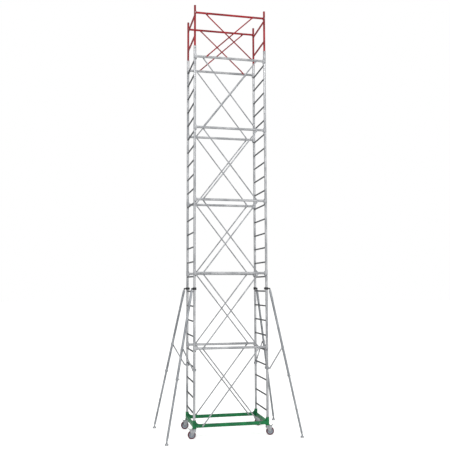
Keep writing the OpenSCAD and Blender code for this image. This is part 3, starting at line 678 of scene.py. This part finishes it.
for side in (-1, 1):
    longEnds, shortEnds = [], []
    for end in (-1, 1):
        longEnds.append([(end * (cornerX - socketReach(u, hug)), side * cornerY + u, baseZ + v)
                         for u, v in barOutline])
        shortEnds.append([(side * cornerX + u, end * (cornerY - socketReach(u, hug)), baseZ + v)
                          for u, v in barOutline])
    baseParts += [skin(longEnds), skin(shortEnds)]
gussetOutline = [(0, 0), (base["gusset"], 0)] + arcPoints(
    base["gusset"], base["gusset"], base["gusset"] - base["gussetLand"], -90, -180, 14)
gussetOutline.append((0, base["gusset"]))
barTop = baseZ + base["barHeight"] / 2
for _, signX, signY in corners:
    corner = atCorner(signX, signY)
    radius, bore = base["socketRadius"], base["socketBore"]
    socket = turned([(radius, base["socketFoot"]), (radius, base["socketTop"]), (bore, base["socketTop"]),
                     (bore, base["socketFoot"])], bored=True, steps=48)
    foot = plate(roundedRect(base["plateSide"], base["plateSide"], base["plateCorner"]),
                 base["socketFoot"] - base["plateThick"], base["socketFoot"])
    baseParts += [moved(socket, corner), moved(foot, corner)]
    for turn in (180, 270):
        web = moved(plate(gussetOutline, -base["gussetThick"] / 2, base["gussetThick"] / 2), toY)
        outlineTurn = Matrix.Rotation(math.radians(turn), 4, "Z")
        seat = outlineTurn @ Matrix.Translation((radius - base["gussetSink"], 0, barTop))
        baseParts.append(moved(web, corner @ seat))
        # the bar's outline on the socket, and both sides of the gusset
        outline = [(socketReach(u, radius + 0.0004), u, baseZ + v) for u, v in barOutline]
        baseWelds.append(([corner @ outlineTurn @ Vector(p) for p in outline], True))
        for face in (-1, 1):
            edge = face * base["gussetThick"] / 2
            root, tip = base["gussetSink"], base["gusset"] * base["beadShare"]
            lines = [(root + tip, edge, 0), (root, edge, 0), (root, edge, tip)]
            baseWelds.append(([corner @ seat @ Vector(p) for p in lines], False))
    baseWelds.append(flatLoop(signX * cornerX, signY * cornerY, base["socketFoot"] + 0.0005, radius + 0.0008))
makePiece("baseFrame", baseParts, "greenPowderCoat", "tower", base["rounding"], ["base_frame"])
makeWelds("baseWelds", baseWelds, base["bead"], "greenPowderCoat", "tower")
print("base frame made")


# Castors, drawn about the swivel axis with the wheel trailing towards +X

castor = {
    "trail": 0.048, "wheelRadius": 0.080, "tyreHalf": 0.021, "tyreThick": 0.024, "cheekIn": 0.025,
    "cheekThick": 0.005, "bridgeZ": 0.1727, "bridgeThick": 0.006, "raceTop": 0.1867, "raceRadius": 0.034,
    "brakeX": 0.076, "brakeZ": 0.1767, "pedalHalf": 0.0208, "pedalTilt": -25, "pedalRounding": 0.0006,
    "ribs": 12, "ribInner": 0.0155, "ribSink": 0.0075, "ribThick": 0.003, "ribDepth": 0.030,
    "tyreCorner": 0.008, "rounding": 0.0012,
}
ribTree, given = startTree("hubRibs", {
    "Count": "Int", "Inner": "Float", "Outer": "Float", "Thickness": "Float", "Depth": "Float",
    "Axle": "Vector"})
span = addNode(ribTree, "ShaderNodeMath", {"operation": "SUBTRACT"}, {
    0: given["Outer"], 1: given["Inner"]}).outputs[0]
total = addNode(ribTree, "ShaderNodeMath", {"operation": "ADD"}, {
    0: given["Outer"], 1: given["Inner"]}).outputs[0]
middle = addNode(ribTree, "ShaderNodeMath", {"operation": "MULTIPLY"}, {0: total, 1: 0.5}).outputs[0]
size = addNode(ribTree, "ShaderNodeCombineXYZ", {}, {
    "X": span, "Y": given["Thickness"], "Z": given["Depth"]}).outputs[0]
rib = addNode(ribTree, "GeometryNodeMeshCube", {}, {"Size": size}).outputs[0]
offset = addNode(ribTree, "ShaderNodeCombineXYZ", {}, {"X": middle}).outputs[0]
rib = addNode(ribTree, "GeometryNodeTransform", {}, {"Geometry": rib, "Translation": offset}).outputs[0]
spots = addNode(ribTree, "GeometryNodeMeshLine", {}, {
    "Count": given["Count"], "Offset": (0, 0, 0)}).outputs[0]
index = addNode(ribTree, "GeometryNodeInputIndex").outputs[0]
part = addNode(ribTree, "ShaderNodeMath", {"operation": "DIVIDE"}, {0: index, 1: given["Count"]}).outputs[0]
angle = addNode(ribTree, "ShaderNodeMath", {"operation": "MULTIPLY"}, {0: part, 1: 2 * math.pi}).outputs[0]
spin = addNode(ribTree, "ShaderNodeCombineXYZ", {}, {"Z": angle}).outputs[0]
ribs = addNode(ribTree, "GeometryNodeInstanceOnPoints", {}, {
    "Points": spots, "Instance": rib, "Rotation": spin}).outputs[0]
ribs = addNode(ribTree, "GeometryNodeTransform", {}, {
    "Geometry": ribs, "Translation": given["Axle"], "Rotation": (quarter, 0, 0)}).outputs[0]
wheel = addNode(ribTree, "GeometryNodeJoinGeometry", {}, {"Geometry": [given["Geometry"], ribs]}).outputs[0]
endTree(ribTree, given, wheel)

axle = Matrix.Translation((castor["trail"], 0, castor["wheelRadius"])) @ toY
brakePivot = Matrix.Translation((castor["brakeX"], 0, castor["brakeZ"]))
hubOuter = castor["wheelRadius"] - castor["tyreThick"]
tyreHalf = castor["tyreHalf"]
# boss, dished web, and rim, going once round the half section
hubProfile = [
    (0.0061, -0.0245), (0.0130, -0.0245), (0.0160, -0.0225), (0.0165, -0.0140), (0.0200, -0.0120),
    (hubOuter - 0.0110, -0.0100), (hubOuter - 0.0080, -0.0120), (hubOuter - 0.0070, -0.0190),
    (hubOuter - 0.0002, -0.0190), (hubOuter - 0.0002, 0.0190), (hubOuter - 0.0070, 0.0190),
    (hubOuter - 0.0080, 0.0120), (hubOuter - 0.0110, 0.0100),
    (0.0200, 0.0120), (0.0165, 0.0140), (0.0160, 0.0225), (0.0130, 0.0245), (0.0061, 0.0245),
]
tyreCorner = castor["tyreCorner"]
shoulder = castor["wheelRadius"] - tyreCorner
tyreProfile = (
    [(hubOuter, -tyreHalf)] + arcPoints(shoulder, -tyreHalf + tyreCorner, tyreCorner, -90, -10, 6)
    + [(0.0798, -0.0095), (0.0786, -0.0085), (0.0786, -0.0070), (0.0799, -0.0060), (0.0800, 0.0),
       (0.0799, 0.0060), (0.0786, 0.0070), (0.0786, 0.0085), (0.0798, 0.0095)]
    + arcPoints(shoulder, tyreHalf - tyreCorner, tyreCorner, 10, 90, 6) + [(hubOuter, tyreHalf)]
)
cheekOutline = (
    [(-0.036, 0.1787), (-0.036, 0.1487)]
    + [(castor["trail"] + x, castor["wheelRadius"] + y) for x, y in arcPoints(0, 0, 0.016, -137.8, -14, 12)]
    + [(0.086, 0.1667), (0.086, 0.1787)]
)


def hexBar(radius, low, high):
    return plate(arcPoints(0, 0, radius, 30, 330, 5), low, high)


def castorForkParts():
    inner, thick = castor["cheekIn"], castor["cheekThick"]
    parts = []
    for face in (-1, 1):
        cheek = plate(cheekOutline, face * inner, face * (inner + thick))
        parts.append(moved(cheek, toY))
        # a pressed rib round the axle, a washer and the nut or head of the axle bolt
        boss = turned([(0.0150, face * 0.0300), (0.0145, face * 0.0312), (0.0110, face * 0.0316)])
        parts.append(moved(boss, axle))
        parts.append(moved(hexBar(0.011, face * 0.0315, face * 0.0378), axle))
    bridge = plate(roundedRect(0.080, 2 * (inner + thick) - 0.0004, 0.006), castor["bridgeZ"],
                   castor["bridgeZ"] + castor["bridgeThick"])
    parts.append(moved(bridge, Matrix.Translation((0.004, 0, 0))))
    parts.append(moved(turned([(0.006, -0.0300), (0.006, 0.0300)], steps=24), axle))
    parts.append(moved(turned([(0.004, -0.0318), (0.004, 0.0318)], steps=20), brakePivot @ toY))
    race = castor["raceRadius"]
    parts.append(turned([
        (race - 0.004, 0.1780), (race, 0.1800), (race, 0.1818), (race - 0.0025, 0.1824),
        (race - 0.0025, 0.1830), (race, 0.1836), (race, 0.1856), (race - 0.003, castor["raceTop"])]))
    return parts


def castorBrakeParts():
    parts = [moved(turned([(0.008, -0.024), (0.008, 0.024)], steps=28), brakePivot @ toY)]
    # the pedal's side section: up from the hinge tube and curled at the tip
    top = [(0.000, 0.007), (0.010, 0.0074), (0.026, 0.0066), (0.037, 0.0070), (0.0445, 0.0062),
           (0.0460, 0.0036)]
    low = [(0.0440, 0.0030), (0.037, 0.0036), (0.026, 0.0032), (0.010, 0.0034), (0.000, 0.003)]
    tilt = brakePivot @ Matrix.Rotation(math.radians(castor["pedalTilt"]), 4, "Y")
    parts.append(moved(plate(top + low, -castor["pedalHalf"], castor["pedalHalf"]), tilt @ toY))
    for x in (0.020, 0.026, 0.032, 0.038):
        grip = plate(roundedRect(0.0026, 0.034, 0.001, 2), 0.0060, 0.0082)
        parts.append(moved(grip, tilt @ Matrix.Translation((x, 0, 0))))
    shoe = plate(roundedRect(0.034, 0.016, 0.002, 2), -0.004, 0.004)
    under = brakePivot @ Matrix.Translation((0.006, 0, -0.012))
    parts.append(moved(shoe, under @ toX @ Matrix.Rotation(quarter, 4, "Z")))
    return parts


forkParts = castorForkParts()
brakeParts = castorBrakeParts()
for name, signX, signY in corners:
    corner = atCorner(signX, signY)
    makePiece("castorFork_" + name, [moved(part, corner) for part in forkParts], "platedZinc",
              "castor_" + name, castor["rounding"], ["castor_fork_" + name])
    hub = keepMesh("hub", joinParts([moved(turned(hubProfile, bored=True, steps=48), corner @ axle)]))
    axleSpot = corner @ Vector((castor["trail"], 0, castor["wheelRadius"]))
    runTree("castorHub_" + name, ribTree, hub, {
        "Count": castor["ribs"], "Inner": castor["ribInner"], "Outer": hubOuter - castor["ribSink"],
        "Thickness": castor["ribThick"], "Depth": castor["ribDepth"], "Axle": tuple(axleSpot),
    }, "mouldedNylon", "wheel_" + name, ["castor_hub_" + name])
    makePiece("castorTyre_" + name, [moved(turned(tyreProfile, bored=True, steps=64), corner @ axle)],
              "maroonRubber", "wheel_" + name, 0, ["castor_tyre_" + name])
    makePiece("castorBrake_" + name, [moved(part, corner) for part in brakeParts], "platedZinc",
              "brake_" + name, castor["pedalRounding"], ["castor_brake_" + name])
print("castors made")


# Post caps

cap = {"radius": 0.023, "plugRadius": 0.0199, "plugDepth": 0.018, "skirt": 0.0022}
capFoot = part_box("post_caps")[1].z - 0.006
capProfile = [(cap["plugRadius"], capFoot - cap["plugDepth"]), (cap["plugRadius"], capFoot),
              (cap["radius"], capFoot), (cap["radius"], capFoot + cap["skirt"])]
capProfile += [(r, capFoot + cap["skirt"] + h) for r, h in (
    (0.0222, 0.0016), (0.0205, 0.0027), (0.0165, 0.0034), (0.0100, 0.0037), (0.0015, 0.0038))]
makePiece("postCaps", [moved(turned(capProfile), atCorner(x, y)) for _, x, y in corners],
          "mouldedPolyethylene", "tower", 0, ["post_caps"])
print("post caps made")


# Outriggers, drawn in the plane of the leg about the upright's axis, with X outwards

outrigger = {
    "azimuth": {"front_left": 33, "front_right": 30, "rear_left": 20, "rear_right": 41},
    "hinge": 0.066, "clampZ": 2.930, "lowerZ": 1.325, "collarZ": 1.750, "footReach": 0.700,
    "ankleZ": 0.050, "pinRadius": 0.006, "eyeRadius": 0.014, "strutSide": 0.040, "strutRadius": 0.013,
    "clampRadius": 0.036, "clampBore": 0.0253, "clampHeight": 0.050,
    "lowerRadius": 0.0365, "lowerBore": 0.0285, "lowerHeight": 0.044,
    "upperRoot": 0.027, "upperCheeks": (0.0073, 0.0133), "upperPin": (-0.0173, 0.0173),
    "lowerRoot": 0.012, "lowerCheek": (0.026, 0.034), "lowerPin": (0.0262, 0.0500),
    "padRadius": 0.038, "padThick": 0.010, "footCheeks": (0.0063, 0.0123), "footPin": (-0.0163, 0.0163),
    "footNut": 0.0085, "footRounding": 0.0008, "outerLength": 1.800,
    "collarBore": 0.0242, "collarRadius": 0.029, "screwUp": 0.022, "screwOut": 0.048, "rounding": 0.0012,
}
hinge = outrigger["hinge"]
legLean = math.atan2(outrigger["footReach"] - hinge, outrigger["clampZ"] - outrigger["ankleZ"])
collarDown = (outrigger["clampZ"] - outrigger["collarZ"]) / math.cos(legLean)
strutTopX = hinge + collarDown * math.sin(legLean)
strutRun = strutTopX - hinge
strutRise = outrigger["collarZ"] - outrigger["lowerZ"]
strutLength = math.hypot(strutRun, strutRise)
legFrame = Matrix.Translation((hinge, 0, outrigger["clampZ"])) @ Matrix.Rotation(-legLean, 4, "Y")


# A link plate with a round eye, from a root to the eye's centre, standing in the XZ plane
def eyePlate(rootX, eyeX, half, near, far):
    outline = [(rootX, -half)] + arcPoints(eyeX, 0, half, -90, 90, 12) + [(rootX, half)]
    return moved(plate(outline, -far, -near), toY)


# A hinge pin along Y with a washer and a hex end on each side
def hingePin(near, far, headRadius=0.0095):
    radius = outrigger["pinRadius"]
    parts = [moved(turned([(radius, near), (radius, far)], steps=24), toY.inverted())]
    for spot, face in ((near, -1), (far, 1)):
        washer = turned([(0.0105, spot - face * 0.0046), (0.0105, spot - face * 0.0034)], steps=24)
        nut = plate(arcPoints(0, 0, headRadius, 0, 300, 5), spot - face * 0.0034, spot + face * 0.0010)
        parts += [moved(washer, toY.inverted()), moved(nut, toY.inverted())]
    return parts


# The two bolted lips at the split of a clamp ring, on the side away from the hinge
def clampLips(radius, half):
    parts = []
    for face in (-1, 1):
        lip = plate(roundedRect(0.017, 2 * half - 0.006, 0.003, 3), face * 0.0012, face * 0.0062)
        parts.append(moved(lip, Matrix.Translation((-radius - 0.0055, 0, 0)) @ toY))
    for z in (-half * 0.5, half * 0.5):
        spot = Matrix.Translation((-radius - 0.0070, 0, z)) @ toY
        parts.append(moved(hexBar(0.0052, -0.0105, -0.0062), spot))
        parts.append(moved(hexBar(0.0052, 0.0062, 0.0105), spot))
    return parts


def clampRing(outer, bore, half):
    ring = turned([(outer, -half), (outer, half), (bore, half), (bore, -half)], bored=True, steps=44)
    return [ring] + clampLips(outer, half)


def upperClampParts():
    parts = clampRing(outrigger["clampRadius"], outrigger["clampBore"], outrigger["clampHeight"] / 2)
    for face in (-1, 1):
        near, far = sorted(face * reach for reach in outrigger["upperCheeks"])
        parts.append(eyePlate(outrigger["upperRoot"], hinge, outrigger["eyeRadius"], near, far))
    pin = Matrix.Translation((hinge, 0, 0))
    parts += [moved(part, pin) for part in hingePin(*outrigger["upperPin"])]
    return [moved(part, Matrix.Translation((0, 0, outrigger["clampZ"]))) for part in parts]


def lowerClampParts():
    parts = clampRing(outrigger["lowerRadius"], outrigger["lowerBore"], outrigger["lowerHeight"] / 2)
    parts.append(eyePlate(outrigger["lowerRoot"], hinge, outrigger["eyeRadius"], *outrigger["lowerCheek"]))
    pin = Matrix.Translation((hinge, 0, 0))
    # the eye's other side is welded to the pin, so only the far end has a washer and a nut
    shank, _, _, washer, nut = hingePin(*outrigger["lowerPin"])
    parts += [moved(part, pin) for part in (shank, washer, nut)]
    return [moved(part, Matrix.Translation((0, 0, outrigger["lowerZ"]))) for part in parts]


def footParts():
    parts = []
    radius, thick, ankle = outrigger["padRadius"], outrigger["padThick"], outrigger["ankleZ"]
    # a pressed dish, domed up under the ankle
    parts.append(turned([
        (radius - 0.004, 0.005), (radius - 0.001, 0.0062), (radius - 0.001, 0.0086),
        (radius - 0.004, thick + 0.004), (radius - 0.009, thick + 0.013), (0.022, thick + 0.019),
        (0.012, thick + 0.022)], steps=48))
    for face in (-1, 1):
        near, far = sorted(face * reach for reach in outrigger["footCheeks"])
        outline = [(-0.020, thick - 0.001), (0.020, thick - 0.001), (0.013, ankle - 0.012)]
        outline += arcPoints(0, ankle, 0.013, 0, 180, 12) + [(-0.013, ankle - 0.012)]
        parts.append(moved(plate(outline, -far, -near), toY))
    pin = Matrix.Translation((0, 0, ankle))
    parts += [moved(part, pin) for part in hingePin(*outrigger["footPin"], outrigger["footNut"])]
    return [moved(part, Matrix.Translation((outrigger["footReach"], 0, 0))) for part in parts]


def padParts():
    radius = outrigger["padRadius"]
    profile = [(radius - 0.003, 0.0), (radius, 0.0016), (radius, 0.0030), (radius - 0.0012, 0.0036),
               (radius - 0.0012, 0.0042), (radius, 0.0048), (radius, 0.0056), (radius - 0.002, 0.0066)]
    return [moved(turned(profile, steps=48), Matrix.Translation((outrigger["footReach"], 0, 0)))]


strutShape = {"radius": outrigger["strutRadius"], "flatHalf": 0.014, "flatThick": 0.010, "flatMiddle": 0.0,
              "roundMiddle": 0.0, "flat": 0.022, "swage": 0.040}
strutTube = pressedTube(strutLength, strutShape, steps=24)
strutFrame = (Matrix.Translation((hinge, outrigger["strutSide"], outrigger["lowerZ"]))
              @ Matrix.Rotation(-math.atan2(strutRise, strutRun), 4, "Y"))


# Rounded ends for the locking screw's bar, and the collars' chamfered rims
def legFittingParts():
    screwZ = -outrigger["outerLength"] + outrigger["screwUp"]
    knobs = []
    for face in (-1, 1):
        ball = turned([(0.0010, 0.0230), (0.0040, 0.0236), (0.0056, 0.0255), (0.0056, 0.0280),
                       (0.0040, 0.0299), (0.0010, 0.0305)], steps=20)
        screw = Matrix.Translation((0, outrigger["screwOut"], screwZ))
        knobs.append(moved(ball, screw @ Matrix.Rotation(face * quarter, 4, "Y")))
    collar, bore = outrigger["collarRadius"], outrigger["collarBore"]
    rims = []
    for low, high in ((-outrigger["outerLength"], -outrigger["outerLength"] + 0.045),
                      (-collarDown - 0.022, -collarDown + 0.022)):
        for rim in (low + 0.005, high - 0.005):
            rims.append(turned([
                (bore, rim - 0.004), (collar + 0.0004, rim - 0.003), (collar + 0.0012, rim),
                (collar + 0.0004, rim + 0.003), (bore, rim + 0.004)], bored=True, steps=36))
    return [moved(part, legFrame) for part in knobs + rims]


upperParts, lowerParts = upperClampParts(), lowerClampParts()
shoeParts, rubberParts, fittingParts = footParts(), padParts(), legFittingParts()
for name, signX, signY in corners:
    corner = atCorner(signX, signY, outrigger["azimuth"][name])
    for label, parts, finish, body, rounding, replaced in (
        ("outriggerClamp_", upperParts, "blackStovedPaint", "swing_clamp_", outrigger["rounding"],
         "outrigger_clamp_"),
        ("strutClamp_", lowerParts, "platedZinc", "lower_clamp_", outrigger["rounding"], "strut_clamp_"),
        ("footShoe_", shoeParts, "platedZinc", "foot_", outrigger["footRounding"], "outrigger_foot_"),
        ("footPad_", rubberParts, "mouldedPolyethylene", "foot_", 0, None),
        ("outriggerStrut_", [moved(strutTube, strutFrame)], "darkerThinZinc", "strut_", 0, "outrigger_strut_"),
        ("legFittings_", fittingParts, "platedZinc", "leg_", 0, None),
    ):
        makePiece(label + name, [moved(part, corner) for part in parts], finish, body + name, rounding,
                  [replaced + name] if replaced else [])
print("outriggers made")


# Floor and light

studio = {
    "floor": "#f2f2f1", "floorCloud": "#efefee", "floorRadius": 120.0, "lift": 0.34, "aim": (0, 0, 3.5),
    "up": 1.0, "front": 0.95, "back": 0.42, "down": 0.5,
}
floorMaterial = bpy.data.materials.new("paleStudioFloor")
floorMaterial.use_nodes = True
floorTree = floorMaterial.node_tree
floorPlace = addNode(floorTree, "ShaderNodeTexCoord").outputs["Object"]
floorCloud = addNode(floorTree, "ShaderNodeTexNoise", {}, {"Vector": floorPlace, "Scale": 0.8, "Detail": 3.0})
floorTone = addNode(floorTree, "ShaderNodeMix", {"data_type": "RGBA"}, {
    0: floorCloud.outputs["Fac"], 6: toLinear(studio["floor"]), 7: toLinear(studio["floorCloud"])}).outputs[2]
floorShader = floorTree.nodes["Principled BSDF"]
floorShader.inputs["Roughness"].default_value = 0.9
floorShader.inputs["Specular IOR Level"].default_value = 0.0
floorTree.links.new(floorTone, floorShader.inputs["Base Color"])
# the floor is lifted to the backdrop's white for the eye alone
floorSeen = addNode(floorTree, "ShaderNodeLightPath").outputs["Is Camera Ray"]
floorLift = addNode(floorTree, "ShaderNodeMath", {"operation": "MULTIPLY"}, {
    0: floorSeen, 1: studio["lift"]}).outputs[0]
floorShader.inputs["Emission Color"].default_value = (1, 1, 1, 1)
floorTree.links.new(floorLift, floorShader.inputs["Emission Strength"])
floorMesh = bpy.data.meshes.new("floor")
rim = arcPoints(0, 0, studio["floorRadius"], 0, 360, 64)[:-1]
floorMesh.from_pydata([(x, y, 0) for x, y in rim], [], [tuple(range(len(rim)))])
floorMesh.materials.append(floorMaterial)
floor = bpy.data.objects.new("floor", floorMesh)
scene.collection.objects.link(floor)

lamps = {
    "keyLamp": {"place": (-5.0, -12.0, 13.0), "size": 6.0, "power": 900},
    "fillLamp": {"place": (9.0, -9.0, 6.0), "size": 8.0, "power": 250},
}
for name, lamp in lamps.items():
    light = bpy.data.lights.new(name, "AREA")
    light.energy = lamp["power"]
    light.size = lamp["size"]
    lampObject = bpy.data.objects.new(name, light)
    lampObject.location = lamp["place"]
    aim = Vector(studio["aim"]) - Vector(lamp["place"])
    lampObject.rotation_euler = aim.to_track_quat("-Z", "Y").to_euler()
    scene.collection.objects.link(lampObject)

# World: bright overhead and in front, darker behind and below, so that round tubes get darker edges
world = bpy.data.worlds.new("studio")
scene.world = world
world.use_nodes = True
worldTree = world.node_tree
worldShader = worldTree.nodes["Background"]
direction = addNode(worldTree, "ShaderNodeTexCoord").outputs["Generated"]
heading = addNode(worldTree, "ShaderNodeSeparateXYZ", {}, {0: direction}).outputs
level = addNode(worldTree, "ShaderNodeMapRange", {"interpolation_type": "SMOOTHSTEP"}, {
    "Value": heading["Y"], "From Min": -0.8, "From Max": 0.9,
    "To Min": studio["front"], "To Max": studio["back"]})
above = addNode(worldTree, "ShaderNodeMapRange", {"interpolation_type": "SMOOTHSTEP"}, {
    "Value": heading["Z"], "From Min": 0.1, "From Max": 0.9}).outputs[0]
shade = addNode(worldTree, "ShaderNodeMix", {"data_type": "FLOAT"}, {
    0: above, 2: level.outputs[0], 3: studio["up"]}).outputs[0]
below = addNode(worldTree, "ShaderNodeMapRange", {}, {
    "Value": heading["Z"], "From Min": -0.5, "From Max": 0.0}).outputs[0]
shade = addNode(worldTree, "ShaderNodeMix", {"data_type": "FLOAT"}, {
    0: below, 2: studio["down"], 3: shade}).outputs[0]
seen = addNode(worldTree, "ShaderNodeLightPath").outputs["Is Camera Ray"]
shade = addNode(worldTree, "ShaderNodeMix", {"data_type": "FLOAT"}, {0: seen, 2: shade, 3: 1.0}).outputs[0]
worldTree.links.new(shade, worldShader.inputs["Color"])
scene.view_settings.view_transform = "Standard"
print("floor and light set")
